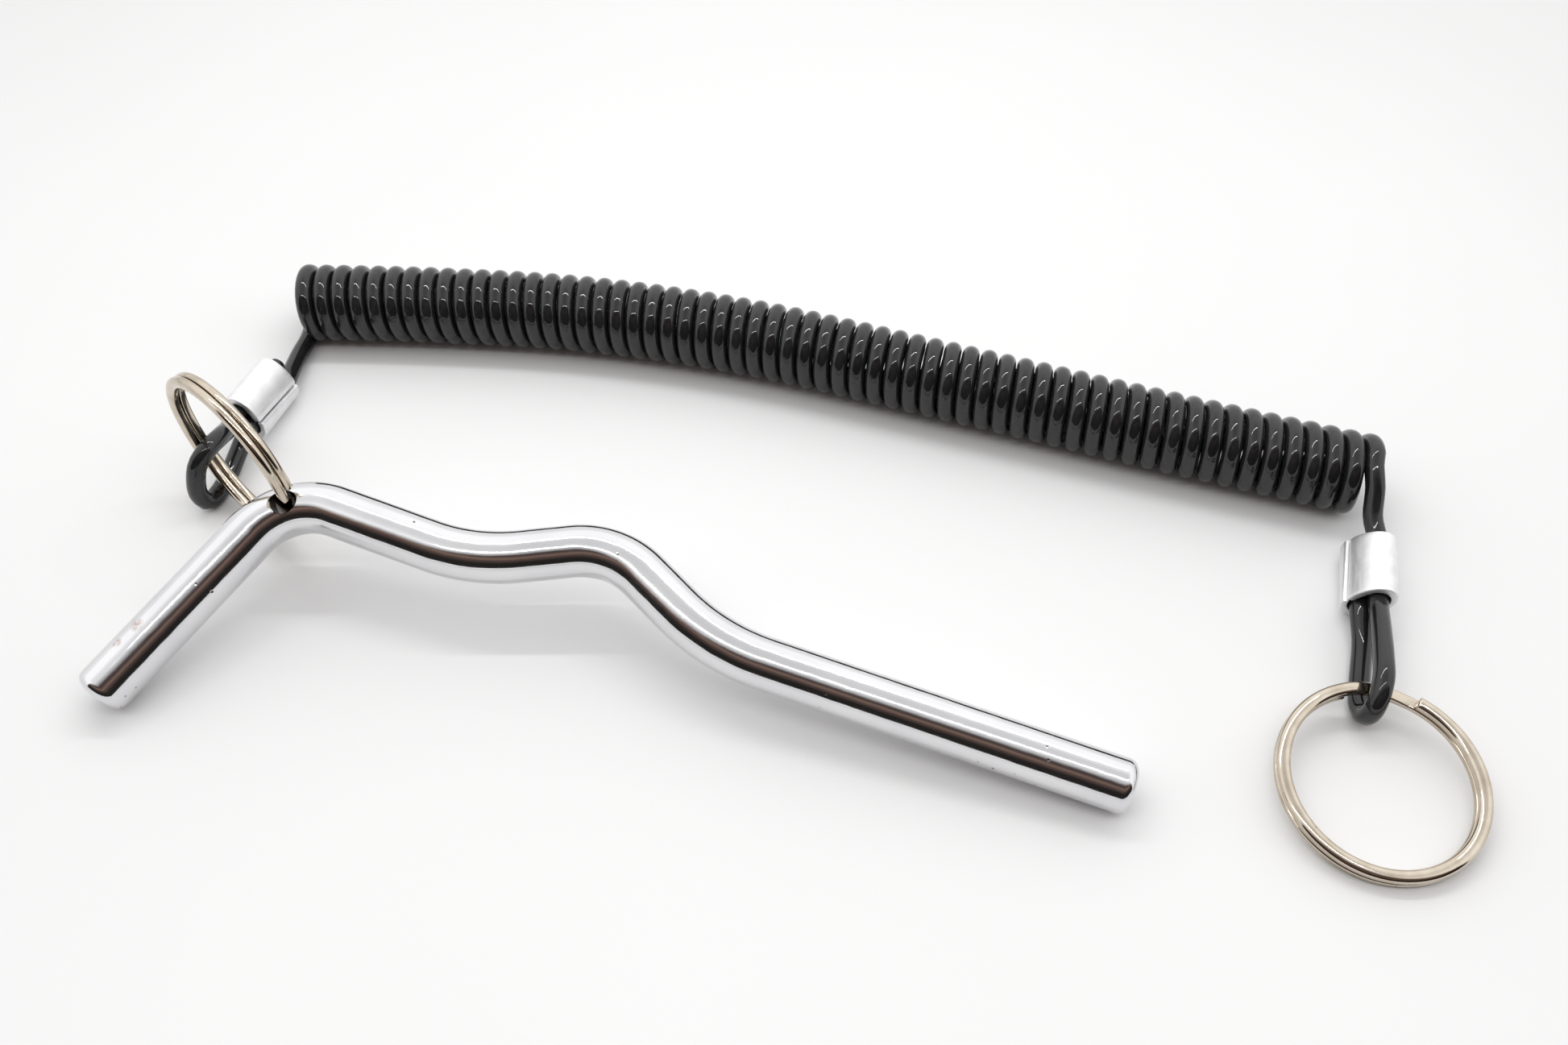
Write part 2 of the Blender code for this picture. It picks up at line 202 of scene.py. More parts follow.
def add_node(material, kind, **settings):
    """A node with its settings; a setting in capitals is the default value of the input of that name."""
    node = material.node_tree.nodes.new(kind)
    for key, value in settings.items():
        if key.isupper():
            node.inputs[key.replace("_", " ").title()].default_value = value
        else:
            setattr(node, key, value)
    return node


def link(material, source, target):
    material.node_tree.links.new(source, target)


def place_in(material, attribute, stretch):
    """Coordinates for a texture: a stored attribute, or the object's own place, scaled along each axis."""
    mapping = add_node(material, "ShaderNodeMapping", SCALE=stretch)
    if attribute:
        source = add_node(material, "ShaderNodeAttribute", attribute_name=attribute).outputs["Vector"]
    else:
        source = add_node(material, "ShaderNodeTexCoord").outputs["Object"]
    link(material, source, mapping.inputs["Vector"])
    return mapping.outputs["Vector"]


def noise(material, place, scale, detail=3.0):
    node = add_node(material, "ShaderNodeTexNoise", SCALE=scale, DETAIL=detail)
    link(material, place, node.inputs["Vector"])
    return node.outputs["Fac"]


def ranged(material, value, low, high, new_low, new_high):
    """The value, taken from one range to another and kept inside it."""
    node = add_node(material, "ShaderNodeMapRange")
    node.inputs["From Min"].default_value = low
    node.inputs["From Max"].default_value = high
    node.inputs["To Min"].default_value = new_low
    node.inputs["To Max"].default_value = new_high
    link(material, value, node.inputs["Value"])
    return node.outputs["Result"]


def arithmetic(material, operation, a, b):
    node = add_node(material, "ShaderNodeMath", operation=operation)
    for socket, value in zip(node.inputs, (a, b)):
        if isinstance(value, float):
            socket.default_value = value
        else:
            link(material, value, socket)
    return node.outputs["Value"]


def mixed(material, share, first, second):
    """A colour between two, by a share from 0 to 1."""
    node = add_node(material, "ShaderNodeMix", data_type="RGBA")
    link(material, share, node.inputs["Factor"])
    for socket, value in zip((node.inputs[6], node.inputs[7]), (first, second)):
        if isinstance(value, tuple):
            socket.default_value = value
        else:
            link(material, value, socket)
    return node.outputs[2]


def bumped(material, height, distance, strength, before=None):
    node = add_node(material, "ShaderNodeBump", STRENGTH=strength, DISTANCE=distance)
    link(material, height, node.inputs["Height"])
    if before:
        link(material, before, node.inputs["Normal"])
    return node.outputs["Normal"]


def spots(material, place, scale, size, threshold):
    """1 in small round spots that stand thinly scattered, and 0 between them."""
    cells = add_node(material, "ShaderNodeTexVoronoi", SCALE=scale)
    link(material, place, cells.inputs["Vector"])
    round_spots = ranged(material, cells.outputs["Distance"], size * 0.5, size, 1.0, 0.0)
    some = ranged(material, noise(material, place, scale * 0.23, 2.0), threshold, threshold + 0.03, 0.0, 1.0)
    return arithmetic(material, "MULTIPLY", round_spots, some)


def chrome_material():
    """Polished chrome with faint lines and pits, two brown stains near the handle's tip, and painted shade in
    the hole's bore.
    """
    material, shader = new_material("chrome_plate")
    along = place_in(material, "along_rod", (0.16, 1.0, 1.0))
    even = place_in(material, "along_rod", (1.0, 1.0, 1.0))
    waves = noise(material, even, 170.0, 2.0)
    lines = noise(material, along, 2600.0, 4.0)
    pits = spots(material, even, 520.0, 0.16, 0.60)
    blotch = ranged(material, noise(material, even, 1300.0, 4.0), 0.40, 0.62, 0.15, 0.8)
    first = stain_spot(material, (13.5 * MM, 1.2 * MM, 4.5 * MM), 1.5 * MM)
    second = stain_spot(material, (9.2 * MM, 1.6 * MM, 4.4 * MM), 1.1 * MM)
    stain = arithmetic(material, "MULTIPLY", arithmetic(material, "MAXIMUM", first, second), blotch)
    haze = ranged(material, noise(material, even, 90.0, 3.0), 0.35, 0.75, 0.0, 1.0)
    plate = mixed(material, haze, (0.74, 0.74, 0.75, 1.0), (0.68, 0.68, 0.70, 1.0))
    pitted = mixed(material, pits, plate, (0.16, 0.15, 0.14, 1.0))
    stained = mixed(material, stain, pitted, (0.40, 0.26, 0.20, 1.0))
    dull = arithmetic(material, "MAXIMUM", pits, stain)
    # Painted shade: the hole's bore and the first 0.2 mm of its chamfer are coloured near-black, standing in
    # for the shade inside the hole.
    across = add_node(material, "ShaderNodeVectorMath", operation="DISTANCE")
    link(material, place_in(material, "along_rod", (1.0, 1.0, 0.0)), across.inputs[0])
    across.inputs[1].default_value = (HOLE_ALONG, 0.0, 0.0)
    bore_shade = ranged(material, across.outputs["Value"], HOLE_RADIUS, HOLE_RADIUS + 0.2 * MM, 1.0, 0.0)
    link(material, mixed(material, bore_shade, stained, (0.07, 0.06, 0.055, 1.0)), shader.inputs["Base Color"])
    smooth = ranged(material, lines, 0.3, 0.7, 0.065, 0.12)
    rough = arithmetic(material, "ADD", smooth, arithmetic(material, "MULTIPLY", dull, 0.16))
    link(material, rough, shader.inputs["Roughness"])
    shader.inputs["Metallic"].default_value = 1.0
    normal = bumped(material, waves, 0.045 * MM, 1.0)
    normal = bumped(material, noise(material, even, 1100.0, 3.0), 0.003 * MM, 1.0, normal)
    normal = bumped(material, lines, 0.0030 * MM, 1.0, normal)
    link(material, bumped(material, pits, -0.02 * MM, 1.0, normal), shader.inputs["Normal"])
    return material


def stain_spot(material, place, reach):
    """1 at a place on the straightened rod, fading to 0 at its reach."""
    away = add_node(material, "ShaderNodeVectorMath", operation="DISTANCE")
    rod = add_node(material, "ShaderNodeAttribute", attribute_name="along_rod")
    link(material, rod.outputs["Vector"], away.inputs[0])
    away.inputs[1].default_value = place
    return ranged(material, away.outputs["Value"], reach * 0.3, reach, 1.0, 0.0)


def nickel_material():
    """Nickel-plated spring wire: drawn lines along the wire and slightly warm."""
    material, shader = new_material("nickel_plate")
    along = place_in(material, "along_wire", (0.05, 1.0, 1.0))
    even = place_in(material, "along_wire", (1.0, 1.0, 1.0))
    lines = noise(material, along, 3200.0, 4.0)
    patches = noise(material, even, 260.0, 3.0)
    tint = ranged(material, patches, 0.3, 0.7, 0.0, 1.0)
    plate = mixed(material, tint, (0.64, 0.57, 0.48, 1.0), (0.50, 0.43, 0.34, 1.0))
    pits = spots(material, even, 700.0, 0.15, 0.61)
    link(material, mixed(material, pits, plate, (0.12, 0.10, 0.08, 1.0)), shader.inputs["Base Color"])
    link(material, ranged(material, lines, 0.3, 0.7, 0.05, 0.12), shader.inputs["Roughness"])
    shader.inputs["Metallic"].default_value = 1.0
    normal = bumped(material, patches, 0.020 * MM, 1.0)
    link(material, bumped(material, lines, 0.004 * MM, 1.0, normal), shader.inputs["Normal"])
    return material


def aluminium_material():
    """Pressed aluminium sheet: satin, with faint rolling lines and small dents."""
    material, shader = new_material("satin_aluminium")
    along = place_in(material, "along_sleeve", (1.0, 1.0, 0.08))
    even = place_in(material, "along_sleeve", (1.0, 1.0, 1.0))
    lines = noise(material, along, 3000.0, 4.0)
    dents = noise(material, even, 420.0, 3.0)
    tone = ranged(material, dents, 0.3, 0.7, 0.0, 1.0)
    sheet = mixed(material, tone, (0.87, 0.87, 0.88, 1.0), (0.78, 0.78, 0.79, 1.0))
    link(material, sheet, shader.inputs["Base Color"])
    link(material, ranged(material, lines, 0.3, 0.7, 0.42, 0.55), shader.inputs["Roughness"])
    shader.inputs["Metallic"].default_value = 1.0
    normal = bumped(material, dents, 0.05 * MM, 1.0)
    link(material, bumped(material, lines, 0.006 * MM, 1.0, normal), shader.inputs["Normal"])
    return material


def plastic_material():
    """Glossy black plastic coat, with a faint wave from the wire rope below it."""
    material, shader = new_material("black_coat")
    even = place_in(material, "along_cable", (1.0, 1.0, 1.0))
    long_waves = noise(material, place_in(material, "along_cable", (0.35, 1.0, 1.0)), 420.0, 3.0)
    grain = noise(material, even, 2600.0, 3.0)
    tone = ranged(material, long_waves, 0.3, 0.7, 0.0, 1.0)
    coat = mixed(material, tone, (0.010, 0.010, 0.011, 1.0), (0.018, 0.018, 0.019, 1.0))
    link(material, coat, shader.inputs["Base Color"])
    link(material, ranged(material, grain, 0.3, 0.7, 0.03, 0.07), shader.inputs["Roughness"])
    normal = bumped(material, long_waves, 0.03 * MM, 1.0)
    link(material, bumped(material, grain, 0.003 * MM, 1.0, normal), shader.inputs["Normal"])
    return material


# ---------------------------------------------------------------- meshes


def new_piece(name, vertices, faces, material, sharp_angle=40.0):
    """A smooth-shaded mesh object with outward faces."""
    mesh = bpy.data.meshes.new(name)
    mesh.from_pydata([tuple(v) for v in vertices], [], faces)
    work = bmesh.new()
    work.from_mesh(mesh)
    bmesh.ops.recalc_face_normals(work, faces=work.faces)
    work.to_mesh(mesh)
    work.free()
    mesh.shade_smooth()
    mesh.set_sharp_from_angle(angle=math.radians(sharp_angle))
    mesh.materials.append(material)
    obj = bpy.data.objects.new(name, mesh)
    bpy.context.scene.collection.objects.link(obj)
    return obj


def store_places(obj, name, places):
    """Keeps a place for each vertex, which the material's textures follow."""
    attribute = obj.data.attributes.new(name, "FLOAT_VECTOR", "POINT")
    attribute.data.foreach_set("vector", np.array(places, np.float32).ravel())


def tube_faces(rings, sides):
    """The faces of a closed tube: its walls and its two ends."""
    faces = []
    for ring in range(rings - 1):
        for side in range(sides):
            after = (side + 1) % sides
            start = ring * sides
            faces.append((start + side, start + after, start + sides + after, start + sides + side))
    faces.append(tuple(reversed(range(sides))))
    faces.append(tuple((rings - 1) * sides + side for side in range(sides)))
    return faces


def distances(points):
    """How far along its line each point is."""
    total = [0.0]
    for a, b in zip(points, points[1:]):
        total.append(total[-1] + (b - a).length)
    return total


# ---------------------------------------------------------------- the pin


def pin_line():
    """The rod's middle line in its own plane, its hole at the origin: points, sideways directions, bends."""
    point = Vector((0.0, 0.0, 0.0))
    heading = 0.0
    points, sideways, bends = [], [], {}
    hole = None
    for index, step in enumerate(PIN_PARTS):
        if isinstance(step, float):
            count = math.ceil(step / STRAIGHT_STEP)
            forward = Vector((math.cos(heading), math.sin(heading), 0.0)) * step
            for number in range(count):
                points.append(point + forward * number / count)
                sideways.append(heading)
            point = point + forward
            continue
        radius, degrees = step
        angle = math.radians(degrees)
        side = math.copysign(1.0, angle)
        centre = point + side * radius * Vector((-math.sin(heading), math.cos(heading), 0.0))
        count = 2 * math.ceil(abs(angle) / BEND_STEP / 2)
        for number in range(count):
            turned = heading + angle * number / count
            points.append(centre - side * radius * Vector((-math.sin(turned), math.cos(turned), 0.0)))
            sideways.append(turned)
            if number == count // 2:
                bends[index] = (len(points) - 1, side)
                if hole is None:
                    hole = points[-1].copy()
        heading += angle
        point = centre - side * radius * Vector((-math.sin(heading), math.cos(heading), 0.0))
    points.append(point)
    sideways.append(heading)
    chord = points[-1] - points[0]
    level = Matrix.Rotation(-math.atan2(chord.y, chord.x), 3, "Z")
    turned_sides = [level @ Vector((-math.sin(a), math.cos(a), 0.0)) for a in sideways]
    return [level @ (p - hole) for p in points], turned_sides, bends


def rounded_line(points, sides):
    """The line with extra points near both ends, and the share of the full radius at each point."""
    turns = [math.radians(10.0 * number) for number in range(10)]
    offsets = [END_ROUNDING * (1 - math.cos(turn)) for turn in turns]
    shares = [1 - END_ROUNDING / ROD_RADIUS * (1 - math.sin(turn)) for turn in turns]
    first = (points[1] - points[0]).normalized()
    last = (points[-2] - points[-1]).normalized()
    flat = shares[0] * 0.9
    head = [points[0]] + [points[0] + first * offset for offset in offsets]
    tail = [points[-1] + last * offset for offset in reversed(offsets)] + [points[-1]]
    all_sides = [sides[0]] * len(head) + sides[1:-1] + [sides[-1]] * len(tail)
    radii = [flat, *shares, *([1.0] * (len(points) - 2)), *reversed(shares), flat]
    return head + points[1:-1] + tail, all_sides, radii


def pin_matrix():
    """Where the pin lies: its own plane is XY, and the hole's axis is Z."""
    turn = Matrix.Rotation(PIN_HEADING, 4, "Z") @ Matrix.Rotation(PIN_LEAN, 4, "X")
    return Matrix.Translation(HOLE_CENTRE) @ turn


def pressed(offset, inward, away, mark):
    """An offset across the rod with the press mark's flat taken off its inner side."""
    depth, half_length = mark
    fade = max(0.0, 1.0 - (away / half_length) ** 2)
    limit = ROD_RADIUS - depth * fade * fade
    reach = offset * inward
    over = reach - limit
    soft = PRESS_SOFTNESS
    if over < -soft:
        return offset
    eased = limit - (soft - min(over + soft, 2 * soft) / 2) ** 2 / soft if over < soft else limit
    return inward * min(reach, eased)


def make_pin(material):
    """The bent rod with its rounded ends, the press marks inside its bends, and the chamfered hole."""
    line, line_sides, bends = pin_line()
    line_distance = distances(line)
    points, sides, radii = rounded_line(line, line_sides)
    up = Vector((0.0, 0.0, 1.0))
    vertices = []
    for point, side, share in zip(points, sides, radii):
        for number in range(ROD_SIDES):
            angle = 2 * math.pi * number / ROD_SIDES
            offset = ROD_RADIUS * share * math.cos(angle)
            for index, mark in PRESS_MARKS.items():
                middle, inward = bends[index]
                away = (point - line[middle]).length
                if away < mark[1]:
                    offset = pressed(offset, inward, away, mark)
            vertices.append(point + side * offset + up * (ROD_RADIUS * share * math.sin(angle)))
    pin = new_piece("pin_rod", vertices, tube_faces(len(points), ROD_SIDES), material)
    cut_hole(pin)
    places = straightened(pin.data, line, line_sides, line_distance)
    store_places(pin, "along_rod", places)
    pin.data.transform(pin_matrix())
    return pin


def cut_hole(pin):
    """Cuts the chamfered cross hole and removes the cutter."""
    rim = ROD_RADIUS - HOLE_CHAMFER
    reach = ROD_RADIUS * 1.5
    flare = HOLE_RADIUS + reach - rim
    upper = [(0.0, reach), (flare, reach), (HOLE_RADIUS, rim)]
    profile = upper + [(radius, -height) for radius, height in reversed(upper)]
    work = bmesh.new()
    corners = [work.verts.new((r, 0.0, z)) for r, z in profile]
    edges = [work.edges.new(pair) for pair in zip(corners, corners[1:])]
    bmesh.ops.spin(
        work,
        geom=corners + edges,
        cent=(0, 0, 0),
        axis=(0, 0, 1),
        angle=2 * math.pi,
        steps=64,
        use_merge=True,
    )
    bmesh.ops.remove_doubles(work, verts=work.verts, dist=0.001 * MM)
    bmesh.ops.recalc_face_normals(work, faces=work.faces)
    mesh = bpy.data.meshes.new("hole_cutter")
    work.to_mesh(mesh)
    work.free()
    cutter = bpy.data.objects.new("hole_cutter", mesh)
    bpy.context.scene.collection.objects.link(cutter)
    cut = pin.modifiers.new("hole", "BOOLEAN")
    cut.operation = "DIFFERENCE"
    cut.solver = "EXACT"
    cut.object = cutter
    bpy.context.view_layer.update()
    result = bpy.data.meshes.new_from_object(pin.evaluated_get(bpy.context.evaluated_depsgraph_get()))
    pin.modifiers.clear()
    pin.data = result
    result.name = "pin_rod"
    result.set_sharp_from_angle(angle=math.radians(32.0))
    bpy.data.objects.remove(cutter, do_unlink=True)


def straightened(mesh, line, sides, along):
    """Each vertex's place if the rod were straight: how far along it is, sideways, and up."""
    where = np.array([v.co for v in mesh.vertices])
    centres = np.array([tuple(p) for p in line])
    across = np.array([tuple(s) for s in sides])
    result = np.zeros_like(where)
    for start in range(0, len(where), 4000):
        part = where[start : start + 4000]
        nearest = np.argmin(((part[:, None, :2] - centres[None, :, :2]) ** 2).sum(2), axis=1)
        offset = part - centres[nearest]
        side = across[nearest]
        result[start : start + 4000, 1] = (offset * side).sum(1)
        forward = offset[:, 0] * side[:, 1] - offset[:, 1] * side[:, 0]
        result[start : start + 4000, 0] = np.array(along)[nearest] + forward
        result[start : start + 4000, 2] = offset[:, 2]
    return result


# ---------------------------------------------------------------- the split rings


def wire_section(share):
    """The wire's section, flat towards the other coil (above it at -1, below it at 1) and crowned outside."""
    corners = []
    for number in range(WIRE_SIDES):
        angle = 2 * math.pi * number / WIRE_SIDES
        inner = (1 - share) / 2 if math.sin(angle) > 0 else (1 + share) / 2
        power = WIRE_CROWN + (WIRE_FLATNESS - WIRE_CROWN) * inner
        reach = superellipse(angle, WIRE_WIDTH / 2, WIRE_THICKNESS / 2, power)
        corners.append((reach * math.cos(angle), reach * math.sin(angle)))
    return corners


def superellipse(angle, half_width, half_height, power):
    """How far an oval reaches from its middle at an angle; a higher power makes it squarer."""
    x = abs(math.cos(angle) / half_width) ** power
    y = abs(math.sin(angle) / half_height) ** power
    return (x + y) ** (-1 / power)


def make_split_ring(name, material, matrix):
    """A split ring: flat wire wound twice about Z, with its jog on +X and its cut ends beside the jog."""
    first = RING_END_ANGLE
    last = 4 * math.pi - RING_END_ANGLE
    count = round((last - first) / (2 * math.pi) * RING_STEPS_PER_TURN)
    turns = [(first + offset, scale) for offset, scale in WIRE_END_TAPER]
    turns += [(first + (last - first) * number / count, 1.0) for number in range(1, count)]
    turns += [(last - offset, scale) for offset, scale in reversed(WIRE_END_TAPER)]
    vertices, places = [], []
    for angle, scale in turns:
        share = max(-1.0, min(1.0, (angle - 2 * math.pi) / JOG_HALF_ANGLE))
        eased = share * (1.5 - 0.5 * share * share)
        height = COIL_RISE / 2 * (0.45 * share + 0.55 * eased)
        outward = Vector((math.cos(angle), math.sin(angle), 0.0))
        section = wire_section(share)
        for x, y in section:
            lifted = Vector((0.0, 0.0, height + y * scale))
            vertices.append(matrix @ (outward * (RING_RADIUS + x * scale) + lifted))
            places.append((RING_RADIUS * angle, x, y))
    ring = new_piece(name, vertices, tube_faces(len(turns), WIRE_SIDES), material)
    store_places(ring, "along_wire", places)
    return ring


def pin_ring_matrix():
    """The pin's ring, placed so that its jog runs through the middle of the hole."""
    turn = Matrix.Rotation(PIN_RING_HEADING, 4, "Z") @ Matrix.Rotation(PIN_RING_LEAN, 4, "X")
    turn = turn @ Matrix.Rotation(PIN_RING_TURN, 4, "Z")
    bow = RING_RADIUS * (1 - math.cos(JOG_HALF_ANGLE)) / 2
    return Matrix.Translation(HOLE_CENTRE - turn @ Vector((RING_RADIUS - bow, 0.0, 0.0))) @ turn


def anchor_ring_matrix():
    """The far ring, nearly flat, with its jog beside the loop."""
    turn = Matrix.Rotation(ANCHOR_RING_LEAN, 4, "X") @ Matrix.Rotation(ANCHOR_RING_TURN, 4, "Z")
    return Matrix.Translation(ANCHOR_RING_CENTRE) @ turn


# ---------------------------------------------------------------- the crimped sleeves


def sleeve_axes(sleeve):
    """X from the lower cable to the upper one, Y across them, Z along the cables towards the loop."""
    heading, tip = sleeve["heading"], sleeve["tip"]
    side = math.copysign(1.0, sleeve["roll"])
    along = Vector((math.cos(heading) * math.cos(tip), math.sin(heading) * math.cos(tip), math.sin(tip)))
    level = Vector((-along.y, along.x, 0.0)).normalized() * side
    upright = along.cross(level) * side
    roll = abs(sleeve["roll"])
    across = level * math.cos(roll) + upright * math.sin(roll)
    return across, along.cross(across), along


def sleeve_point(sleeve, lobe, along):
    """A point in the sleeve: lobe is 1 on the upper cable and -1 on the lower one, along is from -1 to 1."""
    across, _, forward = sleeve_axes(sleeve)
    offset = across * (lobe * CABLE_SPACING / 2) + forward * (along * SLEEVE_LENGTH / 2)
    return sleeve["centre"] + offset


def stadium(angle, half_spacing, radius):
    """How far the outline round two equal circles side by side reaches from its middle at an angle."""
    x, y = abs(math.cos(angle)), abs(math.sin(angle))
    if y * half_spacing > x * radius:
        return radius / y
    return half_spacing * x + math.sqrt(radius**2 - (half_spacing * y) ** 2)


def make_sleeve(name, material, sleeve):
    """A sleeve rolled from strip around both cables, with rounded rims and an open, slightly slanted seam."""
    half = SLEEVE_LENGTH / 2
    rim = SLEEVE_RIM
    turns = np.radians((0, 22.5, 45, 67.5, 90))
    slices = [(-half + rim * (1 - math.cos(turn)), rim * (1 - math.sin(turn))) for turn in turns]
    middle = [(z, 0.0) for z in np.linspace(-half, half, 15)[1:-1]]
    slices = slices + middle + [(-z, inset) for z, inset in reversed(slices)]
    side = math.copysign(1.0, sleeve["roll"])
    count = SLEEVE_SIDES
    across, up, along = sleeve_axes(sleeve)
    vertices, places = [], []
    for z, inset in slices:
        seam = sleeve["seam"] + sleeve["seam_slant"] * z / half
        outline = []
        for is_outer, numbers in ((True, range(count + 1)), (False, range(count, -1, -1))):
            for number in numbers:
                angle = seam + SEAM_HALF_GAP + (2 * math.pi - 2 * SEAM_HALF_GAP) * number / count
                from_edge = min(number, count - number) * SEAM_STEP
                lip = math.exp(-((from_edge / SEAM_LIP_REACH) ** 2))
                lift = lip * (SEAM_UPPER_LIFT if number < count / 2 else SEAM_LOWER_LIFT)
                softened = SEAM_EDGE_ROUNDING if from_edge == 0.0 else 0.0
                if is_outer:
                    reach = superellipse(
                        angle, SLEEVE_WIDTH / 2 - inset, SLEEVE_HEIGHT / 2 - inset, SLEEVE_ROUNDNESS
                    )
                    reach += lift - softened
                else:
                    reach = stadium(angle, CABLE_SPACING / 2, SLEEVE_INNER + inset * 0.6)
                    reach += lift + softened
                outline.append((reach * math.cos(angle), reach * math.sin(angle) * side))
        for x, y in outline:
            vertices.append(sleeve["centre"] + across * x + up * y + along * z)
            places.append((x, y, z))
    size = 2 * (count + 1)
    faces = []
    for row in range(len(slices) - 1):
        for number in range(size):
            after = (number + 1) % size
            start = row * size
            faces.append((start + number, start + after, start + size + after, start + size + number))
    for start in (0, (len(slices) - 1) * size):
        for number in range(count):
            partner = size - 1 - number
            faces.append((start + number, start + number + 1, start + partner - 1, start + partner))
    piece = new_piece(name, vertices, faces, material, 50.0)
    store_places(piece, "along_sleeve", places)
    return piece


# ---------------------------------------------------------------- the cable


def smooth_route(points, step):
    """Points about one step apart on a smooth curve through the given points."""
    padded = [points[0] * 2 - points[1], *points, points[-1] * 2 - points[-2]]
    dense = []
    for corners in zip(padded, padded[1:], padded[2:], padded[3:]):
        dense += [smooth_point(corners, index / 20) for index in range(20)]
    dense.append(points[-1].copy())
    return even_points(dense, step)


def smooth_point(corners, share):
    """A point between the second and third of four corners, on a centripetal Catmull-Rom curve."""
    a, b, c, d = corners
    start = math.sqrt((b - a).length)
    end = start + math.sqrt((c - b).length)
    last = end + math.sqrt((d - c).length)
    t = start + (end - start) * share
    middle = b.lerp(c, share)
    before = a.lerp(b, t / start).lerp(middle, t / end)
    after = middle.lerp(c.lerp(d, (t - end) / (last - end)), (t - start) / (last - start))
    return before.lerp(after, share)


def even_points(points, step):
    """The same line with its points evenly spaced."""
    lengths = distances(points)
    count = max(2, round(lengths[-1] / step))
    result = []
    index = 0
    for number in range(count + 1):
        target = lengths[-1] * number / count
        while index < len(points) - 2 and lengths[index + 1] < target:
            index += 1
        share = (target - lengths[index]) / (lengths[index + 1] - lengths[index])
        result.append(points[index].lerp(points[index + 1], min(share, 1.0)))
    return result


def route_points(rows):
    """A route's points in metres."""
    return [Vector(row) * MM for row in rows]


def tether_end_route(lead, loop, sleeve, lead_lobe, stub):
    """From the coil along the lead, through the sleeve, round the loop and back to the cut end."""
    _, _, along = sleeve_axes(sleeve)
    route = route_points(lead)
    route += [sleeve_point(sleeve, lead_lobe, where) for where in (-1.15, -0.9, 0.9, 1.15)]
    route += route_points(loop)
    route += [sleeve_point(sleeve, -lead_lobe, where) for where in (1.15, 0.9, -0.9, -1.0)]
    route.append(route[-1] - along * stub)
    return route


def coil_helix():
    """The coil's turns, right-handed, from under its left end to the top of its right end."""
    count = round(COIL_TURNS * COIL_POINTS_PER_TURN)
    route = smooth_route(route_points(COIL_ROUTE), 0.5 * MM)
    length = distances(route)[-1]
    axis = even_points(route, length / count)
    up = Vector((0.0, 0.0, 1.0))
    helix = []
    for number, centre in enumerate(axis):
        before = axis[max(number - 1, 0)]
        after = axis[min(number + 1, len(axis) - 1)]
        forward = (after - before).normalized()
        side = up.cross(forward)
        angle = 2 * math.pi * COIL_TURNS * number / (len(axis) - 1) - math.pi / 2
        helix.append(centre + COIL_RADIUS * (side * math.cos(angle) + up * math.sin(angle)))
    return helix


def cable_path():
    """The cable's middle line from one cut end to the other, and the coil's first and last point numbers."""
    end_a = tether_end_route(LEAD_A_ROUTE, LOOP_A_ROUTE, SLEEVE_A, -1, STUB_A_LENGTH)
    end_b = tether_end_route(LEAD_B_ROUTE, LOOP_B_ROUTE, SLEEVE_B, 1, STUB_B_LENGTH)
    helix = coil_helix()
    start = smooth_route([*reversed(end_a[1:]), *helix[:3]], ROUTE_STEP)
    finish = smooth_route([*helix[-3:], *end_b[1:]], ROUTE_STEP)
    start = start[: nearest_number(start, helix[0])]
    finish = finish[nearest_number(finish, helix[-1]) + 1 :]
    return start + helix + finish, len(start), len(start) + len(helix) - 1


def nearest_number(points, place):
    return min(range(len(points)), key=lambda number: (points[number] - place).length)


def make_cable(material):
    """One tube along the whole path, its middle line, and how far through the coil each section is."""
    path, coil_first, coil_last = cable_path()
    along = distances(path)
    side = Vector((0.0, 0.0, 1.0))
    vertices, places = [], []
    for number, point in enumerate(path):
        before = path[max(number - 1, 0)]
        after = path[min(number + 1, len(path) - 1)]
        forward = (after - before).normalized()
        side = (side - forward * side.dot(forward)).normalized()
        other = forward.cross(side)
        edge = 0.9 if number in (0, len(path) - 1) else 1.0
        for index in range(CABLE_SIDES):
            angle = 2 * math.pi * index / CABLE_SIDES
            x = CABLE_RADIUS * edge * math.cos(angle)
            y = CABLE_RADIUS * edge * math.sin(angle)
            vertices.append(point + side * x + other * y)
            places.append((along[number], x, y))
    cable = new_piece("tether_cable", vertices, tube_faces(len(path), CABLE_SIDES), material, 60.0)
    store_places(cable, "along_cable", places)
    coil_start, coil_end = along[coil_first], along[coil_last]
    shares = [min(1.0, max(0.0, (distance - coil_start) / (coil_end - coil_start))) for distance in along]
    return cable, path, shares


# ---------------------------------------------------------------- floor, light and camera


def make_floor():
    """A plain pale floor under the object."""
    material, shader = new_material("floor")
    clouds = noise(material, place_in(material, None, (1.0, 1.0, 1.0)), 6.0, 2.0)
    tone = ranged(material, clouds, 0.3, 0.7, 0.0, 1.0)
    paper = mixed(material, tone, (0.83, 0.83, 0.83, 1.0), (0.85, 0.85, 0.85, 1.0))
    link(material, paper, shader.inputs["Base Color"])
    shader.inputs["Roughness"].default_value = 0.75
    shader.inputs["Specular IOR Level"].default_value = 0.15
    reach = 6.0
    corners = [(-reach, -reach, 0.0), (reach, -reach, 0.0), (reach, reach, 0.0), (-reach, reach, 0.0)]
    floor = new_piece("floor", corners, [(0, 1, 2, 3)], material)


